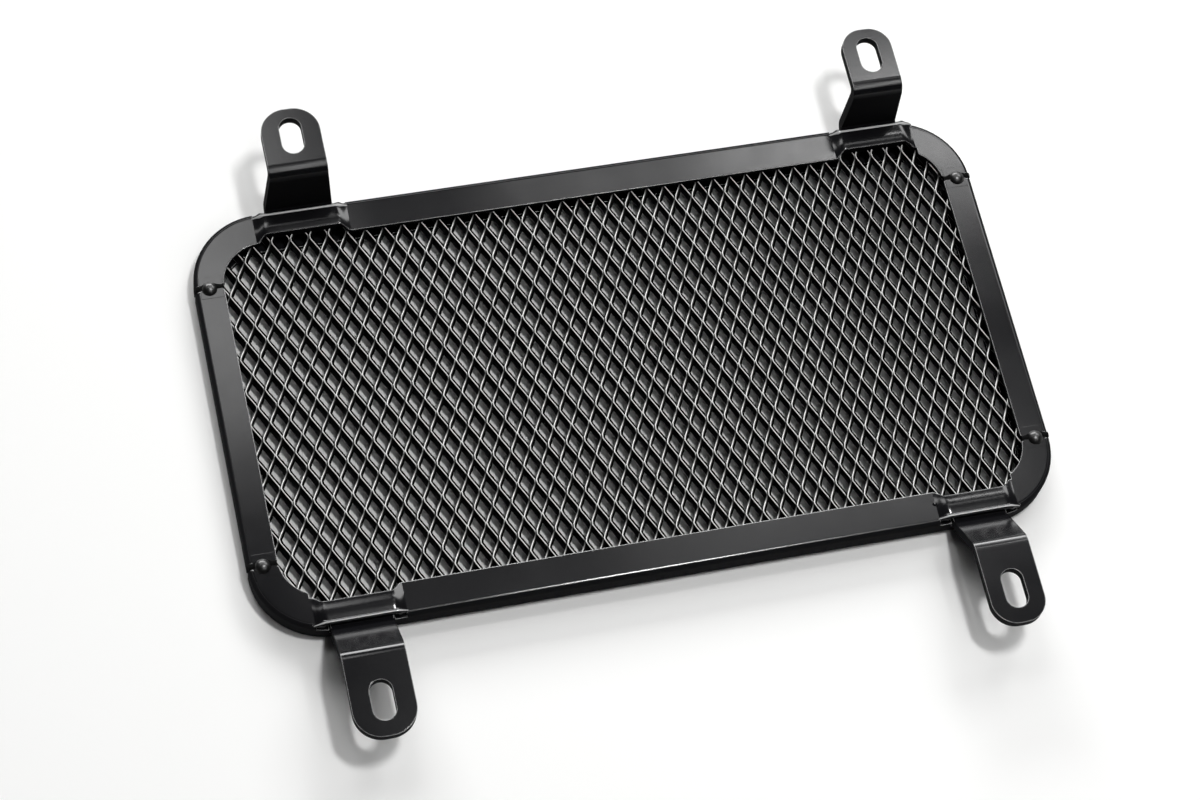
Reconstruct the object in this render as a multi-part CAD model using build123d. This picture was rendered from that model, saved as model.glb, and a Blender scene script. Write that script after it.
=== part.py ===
from build123d import *

import os
from math import ceil, hypot

# Radiator guard for a motorcycle: a frame of folded sheet channel, a raised diamond mesh clamped
# in the channel, and four bent tabs with slots that bolt to the radiator's brackets.
# The guard lies on its back: X runs across its width, Y towards its upper edge, Z out of its front.
# The origin is on the plane of the back, under the middle of the whole outline.

# Frame channel
frame_width = 255.0
frame_height = 141.0
frame_depth = 8.0
sheet = 1.6
corner_radius = 23.0
fold_radius = 1.6
back_edge_break = 1.0
rail_flange = 10.7
side_flange = 9.2
window_radius = 13.5

# Seams between the rails and the side bars, and the welds that close them
seam_gap = 2.0
seam_below_corner = 0.5
weld_radius = 2.7
weld_shoulder = 0.3
weld_crown = 1.1
weld_clearance = 0.4
bead_sink = 0.7
bead_inset = 0.4

# Bridges pressed in the front flange, one over the root of each tab
bridge_rise = 1.3
bridge_ramp = 3.6
bridge_clearance = 0.6
bridge_notch = 2.3
bridge_flank = 4.0

# Tabs: common sizes
tab_thickness = 3.0
tab_bend_inside = 1.5
tab_tip_flat = 2.0
tab_slot_width = 7.0
tab_slot_length = 12.6
tab_foot_inset = 0.5
tab_clearance = 0.4

# Upper tabs: steep riser that narrows towards the plate
top_left_inset = 37.0
top_left_root_width = 21.5
top_left_plate_width = 18.6
top_right_inset = 28.7
top_right_root_width = 18.5
top_right_plate_width = 16.4
top_reach = 24.0
top_plate_rise = 21.0
top_foot_bend = 1.4
top_plate_bend = 2.4
top_slot_inset = 9.7

# Lower tabs: strip of one width with a slanting middle
bottom_left_inset = 30.6
bottom_left_width = 19.2
bottom_right_inset = 29.4
bottom_right_width = 17.2
bottom_reach = 39.8
bottom_plate_rise = 12.2
bottom_foot_bend = 0.5
bottom_plate_bend = 13.3
bottom_slot_inset = 11.2

# Mesh panel
mesh_clearance = 0.3
mesh_short_way = 17.3
mesh_long_way = 33.4
mesh_strand = 2.0
mesh_lean = 1.5
mesh_overrun = 1.5
mesh_smallest_share = 0.25

# Places that follow from the sizes above
front_back = frame_depth - sheet
half_width = frame_width / 2
half_height = frame_height / 2
wall_inside = half_height - sheet
window_width = frame_width - 2 * side_flange
window_height = frame_height - 2 * rail_flange
seam_place = half_height - corner_radius - seam_below_corner
weld_places = list(GridLocations(frame_width - side_flange, 2 * seam_place, 2, 2))
foot_front = front_back + bridge_rise
foot_back = foot_front - tab_thickness
bridge_edge = window_height / 2 + bridge_notch
foot_start = bridge_edge + tab_foot_inset
top_left_place = top_left_inset - half_width
top_right_place = half_width - top_right_inset
bottom_left_place = bottom_left_inset - half_width
bottom_right_place = half_width - bottom_right_inset
top_roots = [
    (top_left_place, top_left_root_width),
    (top_right_place, top_right_root_width),
]
bottom_roots = [
    (bottom_left_place, bottom_left_width),
    (bottom_right_place, bottom_right_width),
]
outline_shift = (bottom_reach - top_reach) / 2


def rounded_block(width, height, radius, low, high):
    """Upright block with rounded corners, between two heights."""
    return Pos(0, 0, low) * extrude(RectangleRounded(width, height, radius), high - low)


def span_block(x_from, x_to, y_from, y_to, low, high):
    """Box given by its limits along each axis."""
    size = Box(x_to - x_from, y_to - y_from, high - low)
    return Pos((x_from + x_to) / 2, (y_from + y_to) / 2, (low + high) / 2) * size


def s_curve(start, end):
    """Two tangent arcs that leave one level and come in flat at another."""
    middle = ((start[0] + end[0]) / 2, (start[1] + end[1]) / 2)
    leave = TangentArc(start, middle, tangent=(1, 0))
    arrive = TangentArc(end, middle, tangent=(-1, 0))
    return [leave, arrive]


def channel_ring():
    """Whole frame before its seams are cut: an outer wall with a front and a back flange."""
    ring = rounded_block(frame_width, frame_height, corner_radius, 0, frame_depth)
    ring = fillet(ring.faces().sort_by(Axis.Z)[-1].edges(), fold_radius)
    ring = chamfer(ring.faces().sort_by(Axis.Z)[0].edges(), back_edge_break)
    inner_width = frame_width - 2 * sheet
    inner_height = frame_height - 2 * sheet
    ring -= rounded_block(inner_width, inner_height, corner_radius - sheet, sheet, front_back)
    return ring - rounded_block(window_width, window_height, window_radius, 0, frame_depth)


def weld_scallops():
    """Round clearances that the flange ends have about the four welds."""
    scallop = Pos(0, 0, frame_depth) * Cylinder(weld_radius + weld_clearance, 2 * sheet)
    return Part() + [place * scallop for place in weld_places]


def bridge_ridge(half_flat):
    """Raised strip of the flange: a flat top with an S-shaped ramp down to the flange on each side."""
    half_all = half_flat + bridge_ramp
    edges = [
        Line((-half_all, front_back), (-half_all, frame_depth)),
        Line((half_all, front_back), (half_all, frame_depth)),
    ]
    for low in (front_back, frame_depth):
        high = low + bridge_rise
        edges += s_curve((-half_all, low), (-half_flat, high))
        edges += [Line((-half_flat, high), (half_flat, high))]
        edges += s_curve((half_flat, high), (half_all, low))
    section = Plane.XZ * make_face(edges)
    start = Pos(0, window_height / 2, 0) * section
    return extrude(start, wall_inside - window_height / 2, dir=(0, 1, 0))


def bridge_recess(half_flat):
    """Shallow bay cut in the flange's inner edge under the bridge, with S-shaped flanks."""
    half_mouth = half_flat + bridge_flank
    mouth = window_height / 2
    below = mouth - rail_flange / 2
    outline = [
        *s_curve((-half_mouth, mouth), (-half_flat, bridge_edge)),
        Line((-half_flat, bridge_edge), (half_flat, bridge_edge)),
        *s_curve((half_flat, bridge_edge), (half_mouth, mouth)),
        Line((half_mouth, mouth), (half_mouth, below)),
        Line((half_mouth, below), (-half_mouth, below)),
        Line((-half_mouth, below), (-half_mouth, mouth)),
    ]
    return Pos(0, 0, front_back) * extrude(make_face(outline), 2 * sheet + bridge_rise)


def bridged(piece, place, root_width):
    """Rail with a bridge pressed in it and its outer wall opened for the tab that comes out below."""
    half_flat = root_width / 2 + bridge_clearance
    half_all = half_flat + bridge_ramp
    half_door = root_width / 2 + tab_clearance
    inside = window_height / 2 - sheet
    outside = half_height + sheet
    over = frame_depth + sheet
    at = Pos(place, 0, 0)
    piece -= at * span_block(-half_all, half_all, inside, outside, front_back, over)
    piece -= at * span_block(-half_door, half_door, inside, outside, foot_back - tab_clearance, over)
    within = rounded_block(
        frame_width - 2 * sheet, frame_height - 2 * sheet, corner_radius - sheet, 0, 2 * frame_depth
    )
    piece += at * bridge_ridge(half_flat) & within
    return piece - at * bridge_recess(half_flat)


def rail(ring, roots):
    """Upper rail with its two corners; the lower rail is the same form turned over."""
    low = seam_place + seam_gap / 2
    piece = ring & span_block(-frame_width, frame_width, low, frame_height, 0, 2 * frame_depth)
    for place, root_width in roots:
        piece = bridged(piece, place, root_width)
    return piece


def side_bar(ring, side):
    """Straight channel between the seams on one side."""
    end = seam_place - seam_gap / 2
    return ring & span_block(*sorted((0, side * frame_width)), -end, end, 0, 2 * frame_depth)


def corner_welds():
    """Domed nugget over each seam, with the bead that runs in the gap to both sides of it."""
    shoulder = frame_depth + weld_shoulder
    crown = shoulder + weld_crown
    profile = [
        Line((0, front_back), (weld_radius, front_back)),
        Line((weld_radius, front_back), (weld_radius, shoulder)),
        TangentArc((0, crown), (weld_radius, shoulder), tangent=(1, 0)),
        Line((0, crown), (0, front_back)),
    ]
    nugget = revolve(Plane.XZ * make_face(profile), Axis.Z)
    half_bead = side_flange / 2 - bead_inset
    half_gap = seam_gap / 2
    bead = span_block(-half_bead, half_bead, -half_gap, half_gap, front_back, frame_depth - bead_sink)
    weld = nugget + bead
    return Compound([place * weld for place in weld_places])


def bent_tab(place, root_width, plate_width, reach, plate_rise, foot_bend, plate_bend, slot_inset):
    """Upper tab: foot under the bridge, riser through the outer wall, slotted plate with a round end."""
    middle = tab_thickness / 2
    foot_level = foot_front - middle
    plate_front = frame_depth + plate_rise
    plate_level = plate_front - middle
    tip = half_height + reach
    path = FilletPolyline(
        (foot_start, foot_level),
        (half_height + foot_bend, foot_level),
        (half_height + plate_bend, plate_level),
        (tip, plate_level),
        radius=tab_bend_inside + middle,
    )
    strip = extrude(Plane.YZ * trace(path, tab_thickness), root_width / 2, both=True)
    taper = Polygon(
        (-root_width / 2, 0),
        (root_width / 2, 0),
        (root_width / 2, foot_front),
        (plate_width / 2, plate_front - tab_thickness),
        (plate_width / 2, plate_front),
        (-plate_width / 2, plate_front),
        (-plate_width / 2, plate_front - tab_thickness),
        (-root_width / 2, foot_front),
        align=None,
    )
    strip &= extrude(Plane.XZ * taper, tip, dir=(0, 1, 0))
    corners = strip.edges().filter_by(Axis.Z).group_by(Axis.Y)[-1]
    strip = fillet(corners, (plate_width - tab_tip_flat) / 2)
    slot = SlotOverall(tab_slot_length, tab_slot_width, rotation=90)
    strip -= Pos(0, tip - slot_inset, 0) * extrude(slot, plate_front)
    return Pos(place, 0, 0) * strip


def mesh_openings():
    """Edges of the diamond openings; those at the window's edge run a little way under the flange."""
    side = hypot(mesh_short_way, mesh_long_way) / 2
    across = mesh_short_way * mesh_long_way / 2 / side
    share = 1 - mesh_strand / across
    half_x = mesh_short_way / 2 * share
    half_y = mesh_long_way / 2 * share
    corners = [(half_x, 0), (0, half_y), (-half_x, 0), (0, -half_y)]
    diamond = Polygon(*corners, align=None).face()
    window = RectangleRounded(
        window_width + 2 * mesh_overrun,
        window_height + 2 * mesh_overrun,
        window_radius + mesh_overrun,
    ).face()
    columns = 2 * ceil(window_width / 2 / mesh_short_way) + 1
    rows = 2 * ceil(window_height / 2 / mesh_long_way) + 1
    places = list(GridLocations(mesh_short_way, mesh_long_way, columns, rows))
    places += list(GridLocations(mesh_short_way, mesh_long_way, columns + 1, rows + 1))
    edges = []
    for place in places:
        opening = place * diamond
        inside = [window.is_inside(corner.center()) for corner in opening.vertices()]
        if not all(inside):
            opening = (Sketch() + opening) & window
            if not opening or opening.area < mesh_smallest_share * diamond.area:
                continue
        edges.append(opening.face().outer_wire())
    return edges


def foot_notch(place, root_width, side):
    """Bay in the mesh panel's outline that leaves room for a tab's foot."""
    width = root_width + 2 * tab_clearance + mesh_lean
    start = foot_start - tab_clearance
    depth = half_height - start
    return Pos(place, side * (start + depth / 2)) * Rectangle(width, depth)


def mesh_panel():
    """Raised mesh that fills the channel's depth; its strands lean to one side from front to back."""
    width = frame_width - 2 * sheet - 2 * mesh_clearance - mesh_lean
    height = frame_height - 2 * sheet - 2 * mesh_clearance
    outline = RectangleRounded(width, height, corner_radius - sheet - mesh_clearance)
    for place, root_width in top_roots:
        outline -= foot_notch(place, root_width, 1)
    for place, root_width in bottom_roots:
        outline -= foot_notch(place, root_width, -1)
    face = Face(outline.face().outer_wire(), mesh_openings())
    depth = front_back - sheet
    lean = Vector(-mesh_lean, 0, -depth)
    return extrude(Pos(mesh_lean / 2, 0, front_back) * face, lean.length, dir=lean)


def guard_pieces():
    """Every piece of the guard by name, with the frame's middle at the origin."""
    ring = channel_ring() - weld_scallops()
    pieces = {
        "top_rail": rail(ring, top_roots),
        "bottom_rail": mirror(rail(ring, bottom_roots), Plane.XZ),
        "left_side_bar": side_bar(ring, -1),
        "right_side_bar": side_bar(ring, 1),
        "mesh_panel": mesh_panel(),
        "corner_welds": corner_welds(),
    }
    for name, place, root_width, plate_width in (
        ("top_left_tab", top_left_place, top_left_root_width, top_left_plate_width),
        ("top_right_tab", top_right_place, top_right_root_width, top_right_plate_width),
    ):
        pieces[name] = bent_tab(
            place,
            root_width,
            plate_width,
            top_reach,
            top_plate_rise,
            top_foot_bend,
            top_plate_bend,
            top_slot_inset,
        )
    for name, place, width in (
        ("bottom_left_tab", bottom_left_place, bottom_left_width),
        ("bottom_right_tab", bottom_right_place, bottom_right_width),
    ):
        upright = bent_tab(
            place,
            width,
            width,
            bottom_reach,
            bottom_plate_rise,
            bottom_foot_bend,
            bottom_plate_bend,
            bottom_slot_inset,
        )
        pieces[name] = mirror(upright, Plane.XZ)
    return pieces


os.makedirs("parts", exist_ok=True)
for name, piece in guard_pieces().items():
    export_step(Pos(0, outline_shift, 0) * piece, f"parts/{name}.step")
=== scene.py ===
from math import radians

import bpy
import numpy as np
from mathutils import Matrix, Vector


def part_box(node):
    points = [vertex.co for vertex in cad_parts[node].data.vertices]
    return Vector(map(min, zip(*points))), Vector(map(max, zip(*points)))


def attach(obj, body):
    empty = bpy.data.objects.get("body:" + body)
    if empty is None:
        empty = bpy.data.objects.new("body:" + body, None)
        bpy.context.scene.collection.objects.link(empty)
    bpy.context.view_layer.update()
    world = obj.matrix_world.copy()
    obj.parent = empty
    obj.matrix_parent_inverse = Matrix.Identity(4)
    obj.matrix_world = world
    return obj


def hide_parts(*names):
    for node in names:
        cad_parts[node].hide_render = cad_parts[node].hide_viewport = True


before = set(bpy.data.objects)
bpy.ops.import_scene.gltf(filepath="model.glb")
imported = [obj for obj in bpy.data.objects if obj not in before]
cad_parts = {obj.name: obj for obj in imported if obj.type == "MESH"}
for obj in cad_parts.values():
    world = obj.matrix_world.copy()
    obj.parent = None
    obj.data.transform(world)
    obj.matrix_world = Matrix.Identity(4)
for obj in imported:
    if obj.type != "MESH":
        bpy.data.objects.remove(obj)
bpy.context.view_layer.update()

# A black radiator guard lying on a white table, seen from above and a little from its lower left
MM = 0.001

# Raised mesh: sizes in millimetres
short_way = 5.68
long_way = 11.1
stretch_change = 0.0042
long_way_slant = 0.033
row_offset = -0.1
strand = 0.7
strand_crown = 0.25
shoulder_width = 0.4
shoulder_drop = 0.29
bond_overlap = 0.45
back_edge = 0.4
strand_lean = -0.1
lean_change = -0.006
turn_sharpness = 0.97
panel_corner = 21.1
foot_clearance = 0.4
most_columns = 60
samples_per_ribbon = 110

# Corner welds and a droplet of spatter: sizes in millimetres
weld_reach = 4.2
weld_radius = 2.7
weld_crown = 1.4
weld_steps = 25
nugget_radius = 2.7
nugget_sink = 0.9
nugget_drop = 0.4
tail_overreach = 0.2
tail_swell_length = 2.6
tail_half_width = 0.9
tail_swell = 1.0
tail_half_height = 0.75
tail_arch = 0.5
tail_sink = 0.5
flat_inner = 4.2
flat_outer = 2.9
flat_half_width = 3.7
flat_lift = 0.04
flat_depth = 0.3
droplet_radius = 0.75
droplet_squash = 0.8
droplet_across = 85.0
droplet_above_edge = 6.8
droplet_steps = 13
points_round_bead = 20

# Bridges over the tabs' feet, with their covers and lips: sizes in millimetres
sheet = 1.6
bridge_rise = 1.3
bridge_ramp = 3.6
bridge_clearance = 0.6
bridge_inset = 0.5
bridge_notch = 2.3
bridge_flank = 4.0
bridge_steps = 61
cover_spread = 0.9
cover_sink = 0.12
cover_rise = 0.2
cover_overhang = 0.08
cover_fall = np.array([0.6, 0.3, 0.09, 0, 0, 0.09, 0.3, 0.6])
cover_inset = np.array([0, 0, 0.09, 0.3])
lip_radius = 0.75
lip_inset = 0.1
lip_sink = 0.4
lip_end_power = 16
lip_end_share = 0.02
ear_radius = 0.5
ear_sink = 0.3
ear_place = 0.3
ear_length = 0.2
tab_names = ["top_left_tab", "top_right_tab", "bottom_left_tab", "bottom_right_tab"]

# Coat: its dull patches in millimetres, and the slopes at which an edge counts as rounded and as facing up, where
# a highlight is painted as a paler tint
dull_patch = 18.0
dull_patch_change = 0.02
wall_gloss = 0.1
rounded_from, rounded_to = 0.97, 0.85
front_from, front_to = 0.8, 0.95
painted_line_power = 4.0

# Camera, matched to the straight edges of the frame in a picture of 1200 x 800
camera_place = (-191.3, -365.1, 863.3)
camera_turn = (24.523, -6.450, -12.726)
camera_lens = 91.2
camera_sensor = 36

# Table and studio: sizes in metres
table_size = 6
studio_glow = 0.01
mirrored_height = 1.2


def linear(hex_colour):
    """Linear RGBA of an sRGB colour written as #rrggbb."""
    srgb = np.array([int(hex_colour[i : i + 2], 16) for i in (1, 3, 5)]) / 255
    rgb = np.where(srgb <= 0.04045, srgb / 12.92, ((srgb + 0.055) / 1.055) ** 2.4)
    return (*rgb.tolist(), 1.0)


def node(tree, kind, inputs=None, **settings):
    """Add one shader node; an input is a plain value or the socket that feeds it."""
    made = tree.nodes.new(kind)
    for name, value in settings.items():
        setattr(made, name, value)
    for name, value in (inputs or {}).items():
        if isinstance(value, bpy.types.NodeSocket):
            tree.links.new(value, made.inputs[name])
        else:
            made.inputs[name].default_value = value
    return made


def new_material(name):
    """Material with an empty node tree, and that tree."""
    material = bpy.data.materials.new(name)
    material.use_nodes = True
    tree = material.node_tree
    tree.nodes.clear()
    return material, tree


def coat(
    name,
    colour,
    painted_highlight_colour,
    roughness,
    wall_roughness,
    gloss,
    peel_size,
    peel_depth,
    edge_round,
    uses_painted_lines=False,
    dull_below=0.1,
    bright_above=0.6,
):
    """Black polyester coat: fine orange peel, duller patches, dull steep walls and softened edges.

    The glint along an edge is too fine for the picture, so it is painted as a paler tint, a painted highlight:
    where the piece marks a painted line, or else where an upward face rounds over, as light from above would catch
    it. Sizes are in millimetres.
    """
    material, tree = new_material(name)
    place = node(tree, "ShaderNodeTexCoord").outputs["Object"]
    patches = node(tree, "ShaderNodeTexNoise", {"Vector": place, "Scale": 1 / (dull_patch * MM), "Detail": 3.0})
    dullness = node(
        tree,
        "ShaderNodeMapRange",
        {
            "Value": patches.outputs["Fac"],
            "From Min": 0.3,
            "From Max": 0.7,
            "To Min": roughness - dull_patch_change,
            "To Max": roughness + dull_patch_change,
        },
    )
    facing = node(tree, "ShaderNodeNewGeometry").outputs["Normal"]
    steepness = node(tree, "ShaderNodeSeparateXYZ", {"Vector": facing}).outputs["Z"]
    slope_range = {"Value": steepness, "From Min": dull_below, "From Max": bright_above}
    roughness_there = node(
        tree,
        "ShaderNodeMapRange",
        {**slope_range, "To Min": wall_roughness, "To Max": dullness.outputs["Result"]},
    )
    gloss_there = node(tree, "ShaderNodeMapRange", {**slope_range, "To Min": wall_gloss, "To Max": gloss})
    peel = node(tree, "ShaderNodeTexNoise", {"Vector": place, "Scale": 1 / (peel_size * MM), "Detail": 2.0})
    soft_edge = node(tree, "ShaderNodeBevel", {"Radius": edge_round * MM}, samples=6)
    relief = node(
        tree,
        "ShaderNodeBump",
        {
            "Height": peel.outputs["Fac"],
            "Strength": 1.0,
            "Distance": peel_depth * MM,
            "Normal": soft_edge.outputs["Normal"],
        },
    )
    # Where the highlight is painted: the piece's own marks, or rounded edges that face up
    if uses_painted_lines:
        marked_line = node(tree, "ShaderNodeAttribute", attribute_name="highlight_marks").outputs["Fac"]
        glint = node(tree, "ShaderNodeMath", {0: marked_line, 1: painted_line_power}, operation="POWER")
    else:
        turn = node(
            tree,
            "ShaderNodeVectorMath",
            {0: facing, 1: soft_edge.outputs["Normal"]},
            operation="DOT_PRODUCT",
        )
        rounded = node(
            tree,
            "ShaderNodeMapRange",
            {"Value": turn.outputs["Value"], "From Min": rounded_from, "From Max": rounded_to},
        )
        front = node(
            tree, "ShaderNodeMapRange", {"Value": steepness, "From Min": front_from, "From Max": front_to}
        )
        glint = node(
            tree,
            "ShaderNodeMath",
            {0: rounded.outputs["Result"], 1: front.outputs["Result"]},
            operation="MULTIPLY",
        )
    # Painted highlight: the coat turns to its paler colour where the mask says
    tint = node(
        tree,
        "ShaderNodeMix",
        {"Factor": glint.outputs["Value"], "A": linear(colour), "B": linear(painted_highlight_colour)},
        data_type="RGBA",
    )
    shader = node(
        tree,
        "ShaderNodeBsdfPrincipled",
        {
            "Base Color": tint.outputs["Result"],
            "Roughness": roughness_there.outputs["Result"],
            "Specular IOR Level": gloss_there.outputs["Result"],
            "Normal": relief.outputs["Normal"],
        },
    )
    node(tree, "ShaderNodeOutputMaterial", {"Surface": shader.outputs["BSDF"]})
    return material


def table_white():
    """Matt white table: a diffuse sheet that keeps the guard's shadows."""
    material, tree = new_material("matt_white_laminate")
    laminate = node(tree, "ShaderNodeBsdfDiffuse", {"Color": linear("#f7f7f6")})
    node(tree, "ShaderNodeOutputMaterial", {"Surface": laminate.outputs["BSDF"]})
    return material


def box_in_mm(name):
    """Low and high corner of a node's box, in millimetres."""
    return np.array(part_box(name)) / MM


def smooth_rise(share):
    """S-shaped rise from 0 to 1: s^2 (3 - 2 s)."""
    return share**2 * (3 - 2 * share)


def carried_sections(name, points):
    """Mesh object from closed sections carried along paths: points[path, step, place round the section]."""
    index = np.arange(points[..., 0].size).reshape(points.shape[:3])
    beside = np.roll(index, -1, axis=2)
    quads = np.stack([index[:, :-1], beside[:, :-1], beside[:, 1:], index[:, 1:]], axis=-1).reshape(-1, 4)
    caps = np.concatenate([index[:, 0, ::-1], index[:, -1]])
    made = bpy.data.meshes.new(name)
    loops = np.concatenate([quads.ravel(), caps.ravel()])
    sizes = np.concatenate([np.full(len(quads), quads.shape[1]), np.full(len(caps), caps.shape[1])])
    starts = np.concatenate([[0], np.cumsum(sizes)[:-1]])
    made.vertices.add(index.size)
    made.vertices.foreach_set("co", points.ravel() * MM)
    made.loops.add(len(loops))
    made.loops.foreach_set("vertex_index", loops.astype(np.int32))
    made.polygons.add(len(sizes))
    made.polygons.foreach_set("loop_start", starts.astype(np.int32))
    made.polygons.foreach_set("loop_total", sizes.astype(np.int32))
    made.update(calc_edges=True)
    made.validate()
    made.shade_smooth()
    made.set_sharp_from_angle(angle=radians(50))
    piece = bpy.data.objects.new(name, made)
    bpy.context.scene.collection.objects.link(piece)
    return piece


def paint_highlight_lines(piece, marks):
    """Mark where a highlight is painted as a pale tint, 0 to 1 at each point."""
    piece.data.attributes.new("highlight_marks", "FLOAT", "POINT").data.foreach_set("value", marks.ravel())


def oval_beads(name, centre, half_width, half_height):
    """Oval sections carried along x: centre + y * half_width * cos(turn) + z * half_height * sin(turn)."""
    turn = np.linspace(0, 2 * np.pi, points_round_bead, endpoint=False)
    points = np.empty((*half_width.shape, len(turn), 3))
    points[:] = centre[..., None, :]
    points[..., 1] += half_width[..., None] * np.cos(turn)
    points[..., 2] += half_height[..., None] * np.sin(turn)
    return carried_sections(name, points)


def ribbon_limits(x, low, high):
    """Lowest and highest y of the ribbons at each x: the panel's round corners and the tabs' feet end them."""
    half = (high - low) / 2
    middle = (high + low) / 2
    into_corner = np.clip(abs(x - middle[0]) - (half[0] - panel_corner), 0, panel_corner)
    reach = half[1] - panel_corner + np.sqrt(panel_corner**2 - into_corner**2)
    bottom, top = middle[1] - reach, middle[1] + reach
    margin = foot_clearance + short_way / 2
    for name in tab_names:
        tab_low, tab_high = box_in_mm(name)
        beside = (x > tab_low[0] - margin) & (x < tab_high[0] + margin)
        if name.startswith("top"):
            top = np.where(beside, np.minimum(top, tab_low[1] - foot_clearance), top)
        else:
            bottom = np.where(beside, np.maximum(bottom, tab_high[1] + foot_clearance), bottom)
    return bottom, top


def raised_mesh():
    """Ribbons on edge that zigzag up the panel and touch their neighbours at every turn.

    Columns of junctions lie at x = (s / c) (1 - exp(-c n / 2)), so the short way s shrinks slowly with x.
    A ribbon swings between columns n and n + 1 as a rounded triangle wave of y. Its section, a flat strip with a
    crowned front edge and a shoulder, is carried along it, and its lean with depth changes slowly with x.
    """
    low, high = box_in_mm("mesh_panel")
    frame_middle = (low + high) / 2
    depth = high[2] - low[2]
    numbers = np.arange(-most_columns, most_columns)

    def column_place(number):
        return frame_middle[0] + short_way / stretch_change * (1 - np.exp(-stretch_change * number / 2))

    spare = abs(strand_lean) + strand
    inside = (column_place(numbers) > low[0] + spare) & (column_place(numbers + 1) < high[0] - spare)
    numbers = numbers[inside]
    middles = column_place(numbers + 0.5)
    bottom, top = ribbon_limits(middles + np.sign(middles) * short_way / 4, low, high)
    share = np.linspace(0, 1, samples_per_ribbon)
    y = bottom[:, None] + (top - bottom)[:, None] * share
    half_rows = (y - frame_middle[1]) / (long_way / 2) - row_offset
    wave = np.arcsin(turn_sharpness * np.cos(np.pi * (half_rows + numbers[:, None])))
    wave /= np.arcsin(turn_sharpness)
    touch = (strand - bond_overlap) / short_way
    x = column_place(numbers[:, None] + 0.5 - (0.5 - touch) * wave) + long_way_slant * (y - frame_middle[1])
    along_x = np.gradient(x, axis=1)
    along_y = np.gradient(y, axis=1)
    length = np.hypot(along_x, along_y)
    across = np.stack([along_y / length, -along_x / length], axis=-1)

    # Section from its back left corner up the left wall, over the crown and down the right wall
    side = strand / 2 * np.array([-1, -1, -1, -1, -0.9, -0.1, 0.2, 1, 1])
    side[-2:] += shoulder_width
    crown = strand_crown * np.array([1, 0.3, 0, 0.2, 1])
    crown[-1] += shoulder_drop
    drop = np.array([depth, depth - back_edge, depth - 1.3 * back_edge, *crown, depth])
    height = high[2] - drop
    lean = (strand_lean + lean_change * x[..., None]) * (height - frame_middle[2]) / depth
    points = np.empty((*x.shape, len(side), 3))
    points[..., 0] = x[..., None] + across[..., 0, None] * side + lean
    points[..., 1] = y[..., None] + across[..., 1, None] * side
    points[..., 2] = height

    # Painted highlights as pale lines: the crown's left half on every strand, and the back edge of those that run
    # up to the left; on those that run up to the right the line fades toward the upper turn as painted shade
    rising = along_x > 0
    line_fade_up = np.clip(0.95 + 0.6 * wave, 0, 1)
    highlight_marks = np.zeros(points.shape[:3])
    highlight_marks[..., 4] = np.where(rising, line_fade_up, 0.75)
    highlight_marks[..., 5] = np.where(rising, line_fade_up, 1)
    highlight_marks[..., 6] = np.where(rising, 0.5 * line_fade_up, 0)
    highlight_marks[..., 0] = highlight_marks[..., 1] = np.where(rising, 0, np.clip(0.8 + 0.4 * wave, 0, 1))
    piece = carried_sections("raised_mesh", points)
    paint_highlight_lines(piece, highlight_marks)
    return piece


def weld_forms():
    """Weld nugget on each seam, its tails along the seam, and the flat of coat that has run in under it.

    The nugget is an ellipsoid, so its sections shrink as sqrt(1 - (u / r)^2). The tails are one low bead across
    the flange that widens as exp(-(u / length)^2) and arches a little. The flat is a thin strip across the flange.
    """
    low, high = box_in_mm("corner_welds")
    middle = (low + high) / 2
    reach = (high - low) / 2 - np.array([weld_reach, weld_radius, 0])
    face = high[2] - weld_crown
    corners = np.array([[-1, -1], [1, -1], [-1, 1], [1, 1]])
    seams = middle[:2] + corners * reach[:2]

    t = np.sin(np.linspace(-0.49, 0.49, weld_steps) * np.pi)
    shrink = np.broadcast_to(np.sqrt(1 - t**2), (4, len(t)))
    nuggets = np.empty((4, len(t), 3))
    nuggets[..., 0] = seams[:, :1] + nugget_radius * t
    nuggets[..., 1] = seams[:, 1:] - nugget_drop
    nuggets[..., 2] = face - nugget_sink
    nugget_height = nugget_sink + weld_crown
    beads = oval_beads("weld_beads", nuggets, nugget_radius * shrink, nugget_height * shrink)

    u = np.linspace(-weld_reach - tail_overreach, weld_reach + tail_overreach, weld_steps)
    widening = np.exp(-((u / tail_swell_length) ** 2))
    tails = np.empty((4, len(u), 3))
    tails[..., 0] = seams[:, :1] + u
    tails[..., 1] = seams[:, 1:] + tail_arch * widening
    tails[..., 2] = face - tail_sink
    half_width = np.broadcast_to(tail_half_width + tail_swell * widening, tails.shape[:2])
    tail_beads = oval_beads("weld_tails", tails, half_width, np.full_like(half_width, tail_half_height))

    ends = np.where(corners[:, :1] > 0, [-flat_inner, flat_outer], [-flat_outer, flat_inner])
    flats = np.empty((4, 2, 4, 3))
    flats[..., 0] = (seams[:, :1] + ends)[:, :, None]
    flats[..., 1] = seams[:, 1, None, None] + flat_half_width * np.array([1, 1, -1, -1])
    flats[..., 2] = face + np.array([-flat_depth, flat_lift, flat_lift, -flat_depth])
    return beads, tail_beads, carried_sections("weld_flats", flats)


def weld_spatter():
    """One droplet on the lower rail: an oval bead whose radius is sqrt(1 - t^2)."""
    low, high = box_in_mm("bottom_rail")
    t = np.linspace(-0.98, 0.98, droplet_steps)
    radius = droplet_radius * np.sqrt(1 - t**2)[None]
    centre = np.empty((1, len(t), 3))
    centre[..., 0] = droplet_across + droplet_radius * t
    centre[..., 1] = low[1] + droplet_above_edge
    centre[..., 2] = high[2] - bridge_rise
    return oval_beads("weld_spatter", centre, radius, droplet_squash * radius)


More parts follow.
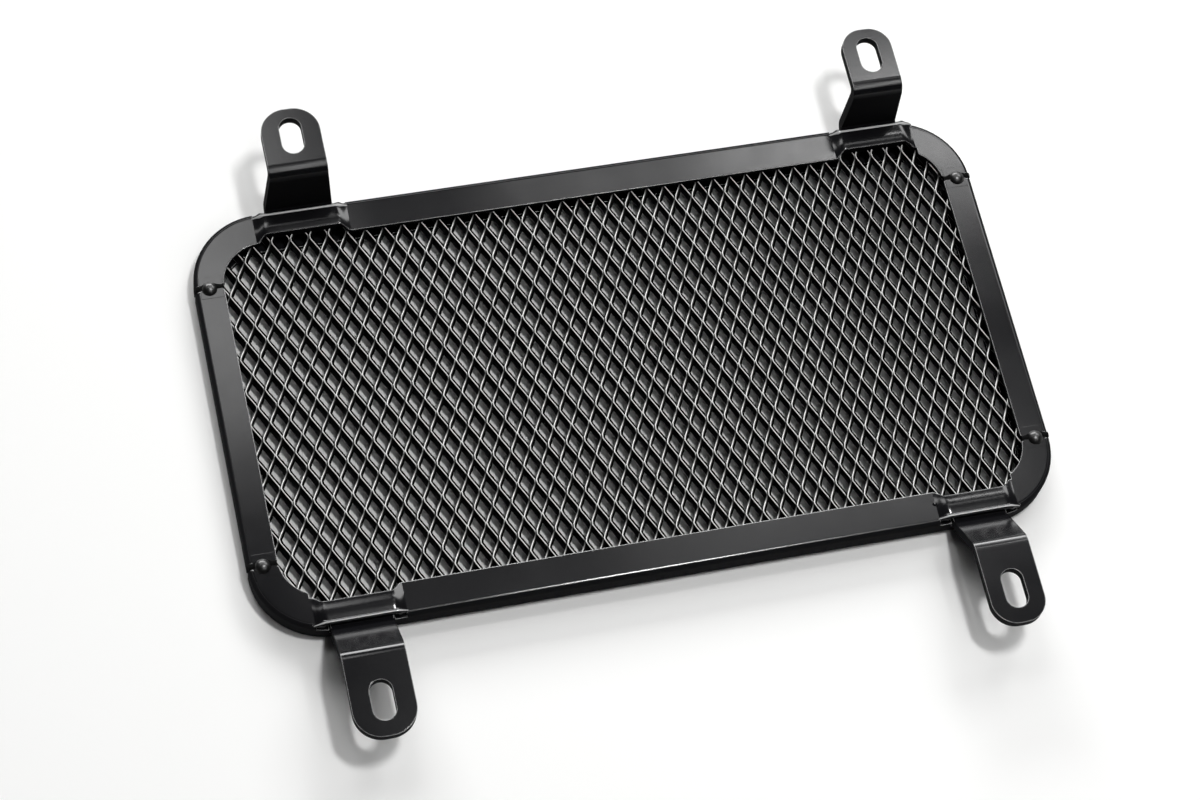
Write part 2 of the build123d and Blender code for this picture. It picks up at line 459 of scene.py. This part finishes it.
def bridge_forms():
    """Lip along the outer edge of each bridge, and the rounded cover over it.

    Both follow the flange up and over: z = rise * s^2 (3 - 2 s) on the ramps. The cover's section is a flat
    strip with round shoulders whose inner edge moves out with the bridge's; the lip swells into an ear near
    both ends.
    """
    lips, radii, covers = [], [], []
    t = np.linspace(-1, 1, bridge_steps)
    for name in tab_names:
        tab_low, tab_high = box_in_mm(name)
        upper = name.startswith("top")
        rail_low, rail_high = box_in_mm("top_rail" if upper else "bottom_rail")
        face = rail_high[2] - bridge_rise
        outer = rail_high[1] - sheet if upper else rail_low[1] + sheet
        inner = tab_low[1] - bridge_inset if upper else tab_high[1] + bridge_inset
        inward = np.sign(inner - outer)
        half_flat = (tab_high[0] - tab_low[0]) / 2 + bridge_clearance
        half_all = half_flat + bridge_ramp + cover_spread
        from_middle = t * half_all
        x = from_middle + (tab_low[0] + tab_high[0]) / 2
        climb = np.clip((half_all - abs(from_middle)) / (bridge_ramp + cover_spread), 0, 1)
        lift = face - cover_sink + (bridge_rise + cover_rise) * smooth_rise(climb)

        ear = np.exp(-(((1 - climb - ear_place) / ear_length) ** 2))
        along = np.full_like(x, outer + lip_inset * inward)
        lips.append(np.stack([x, along, lift - lip_sink - ear_sink * ear], axis=-1))
        ends = np.sqrt(np.clip(1 - t**lip_end_power, lip_end_share, 1))
        radii.append((lip_radius + ear_radius * ear) * ends)

        flank = np.clip((abs(from_middle) - half_flat) / bridge_flank, 0, 1)
        inner_edge = inner + inward * (cover_overhang + bridge_notch * smooth_rise(flank))
        outer_edge = np.full_like(x, outer)
        back, front = (outer_edge, inner_edge) if upper else (inner_edge, outer_edge)
        y = np.concatenate([back[:, None] - cover_inset, front[:, None] + cover_inset[::-1]], axis=1)
        z = lift[:, None] - cover_fall
        covers.append(np.stack([np.broadcast_to(x[:, None], y.shape), y, z], axis=-1))
    radii = np.array(radii)
    lip_piece = oval_beads("bridge_lips", np.array(lips), radii, radii)
    # Painted highlight along the lips' tops, wider on the two upper ones
    lip_lines = np.zeros((*radii.shape, points_round_bead))
    lip_lines[:, :, 5:7] = 1
    lip_lines[:2, :, 7] = 1
    paint_highlight_lines(lip_piece, lip_lines)
    return lip_piece, carried_sections("bridge_covers", np.array(covers))


def light_panel(name, place, size, radiance, tilt=0, turn=0):
    """Soft panel, as bright as its radiance says; it shines down, or tilted to the front, turned in its plane."""
    lamp = bpy.data.lights.new(name, "AREA")
    lamp.shape = "RECTANGLE"
    lamp.size, lamp.size_y = size
    lamp.energy = 4 * radiance * size[0] * size[1]
    panel = bpy.data.objects.new(name, lamp)
    panel.location = place
    panel.rotation_euler = (-radians(tilt), 0, radians(turn))
    bpy.context.scene.collection.objects.link(panel)


# Satin black coat; its pale second colour is a painted highlight on edges
satin_black = {
    "colour": "#121214",
    "painted_highlight_colour": "#d8d8d8",
    "roughness": 0.15,
    "wall_roughness": 0.9,
    "gloss": 0.5,
    "peel_size": 1.3,
    "peel_depth": 0.004,
    "edge_round": 0.45,
}
# Powder coat on folded sheet: satin black, soft broad highlights, and a painted highlight as a thin pale line on
# rounded edges that face up
frame_coat = coat("satin_black_powder_coat", **satin_black, dull_below=0.93, bright_above=0.985)
# The same coat on the tabs and bridges, with the same painted highlight on edges, even and bright round their wide
# bends
tab_coat = coat("satin_black_coat_on_bends", **satin_black)
# The same coat over the lips of the bridges, with a painted highlight: a pale line along each
lip_line_coat = satin_black | {"painted_highlight_colour": "#b8b8b8", "edge_round": 0.2}
lip_coat = coat("black_coat_with_painted_lines_on_lips", **lip_line_coat, uses_painted_lines=True)
# Black coat on the mesh strands: deep black walls, and a painted highlight as a pale line along each marked edge
mesh_coat = coat(
    "gloss_black_coat_on_strands",
    colour="#040404",
    painted_highlight_colour="#f2f2f0",
    roughness=0.20,
    wall_roughness=0.9,
    gloss=0.15,
    peel_size=1.0,
    peel_depth=0.006,
    edge_round=0.15,
    uses_painted_lines=True,
)
# Coat flowed over a weld nugget: smooth, with one soft bright spot, and a painted highlight barely paler than the
# coat on rounded edges that face up
weld_coat = coat(
    "flowed_gloss_coat_on_weld",
    colour="#060606",
    painted_highlight_colour="#0a0a0a",
    roughness=0.34,
    wall_roughness=0.6,
    gloss=0.9,
    peel_size=1.6,
    peel_depth=0.004,
    edge_round=0.02,
)
# Coat over the burnt tails of a weld: matt black, no shine, and a painted highlight barely paler than the coat on
# rounded edges that face up
tail_coat = coat(
    "matt_black_coat_on_weld_tails",
    colour="#060606",
    painted_highlight_colour="#0a0a0a",
    roughness=0.9,
    wall_roughness=0.9,
    gloss=0.1,
    peel_size=0.9,
    peel_depth=0.005,
    edge_round=0.02,
)

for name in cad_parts:
    piece = bpy.data.objects[name]
    finish = {"corner_welds": weld_coat}.get(name, tab_coat if name in tab_names else frame_coat)
    piece.data.materials.clear()
    piece.data.materials.append(finish)

mesh_piece = raised_mesh()
mesh_piece.data.materials.append(mesh_coat)
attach(mesh_piece, "root")
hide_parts("mesh_panel")

welds, weld_tails, weld_flats = weld_forms()
welds.data.materials.append(weld_coat)
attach(welds, "root")
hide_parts("corner_welds")

lips, covers = bridge_forms()
for piece, finish in [
    (weld_spatter(), tab_coat),
    (covers, tab_coat),
    (lips, lip_coat),
    (weld_flats, lip_coat),
    (weld_tails, tail_coat),
]:
    piece.data.materials.append(finish)
    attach(piece, "root")

# Table
bpy.ops.mesh.primitive_plane_add(size=table_size, location=(0, 0, 0))
table = bpy.context.object
table.name = "table"
table.data.materials.append(table_white())

# Light: a key from above right, two large panels that fill its shadows, and a faint glow all round
world = bpy.data.worlds.new("white_studio")
bpy.context.scene.world = world
world.use_nodes = True
world.node_tree.nodes["Background"].inputs["Color"].default_value = linear("#ffffff")
world.node_tree.nodes["Background"].inputs["Strength"].default_value = studio_glow
light_panel("key_panel", (0.26, 0.02, 1.3), (0.10, 0.20), 95, turn=27)
light_panel("soft_panel", (1.65, 1.55, 1.6), (1.40, 1.40), 4.5)
light_panel("back_panel", (0.10, 3.60, 1.5), (3.20, 1.20), 9, tilt=67)

# Small panels, each mirrored in one part of the frame or the tabs: x and y of its middle, size and radiance
mirrored_panels = {
    "left_side_panel": ((-0.75, 0.66), (0.50, 0.12), 3),
    "left_panel": ((-0.16, 0.66), (0.40, 0.28), 3.7),
    "right_panel": ((0.56, 0.685), (0.36, 0.07), 10),
    "right_panel_end": ((0.29, 0.685), (0.18, 0.07), 3.2),
    "left_tab_panel": ((0.05, -0.55), (0.05, 0.90), 6),
    "right_tab_panel": ((0.505, -0.55), (0.05, 0.90), 8),
    "low_right_panel": ((0.40, 0.395), (0.30, 0.06), 2.8),
    "low_left_panel": ((0.14, 0.34), (0.22, 0.12), 0.3),
}
for name, (middle, size, radiance) in mirrored_panels.items():
    light_panel(name, (*middle, mirrored_height), size, radiance)

# Camera
scene = bpy.context.scene
scene.view_settings.view_transform = "Standard"
eye = bpy.data.cameras.new("camera")
eye.sensor_width = camera_sensor
eye.lens = camera_lens
camera = bpy.data.objects.new("camera", eye)
camera.location = np.array(camera_place) * MM
camera.rotation_euler = np.radians(camera_turn)
scene.collection.objects.link(camera)
scene.camera = camera
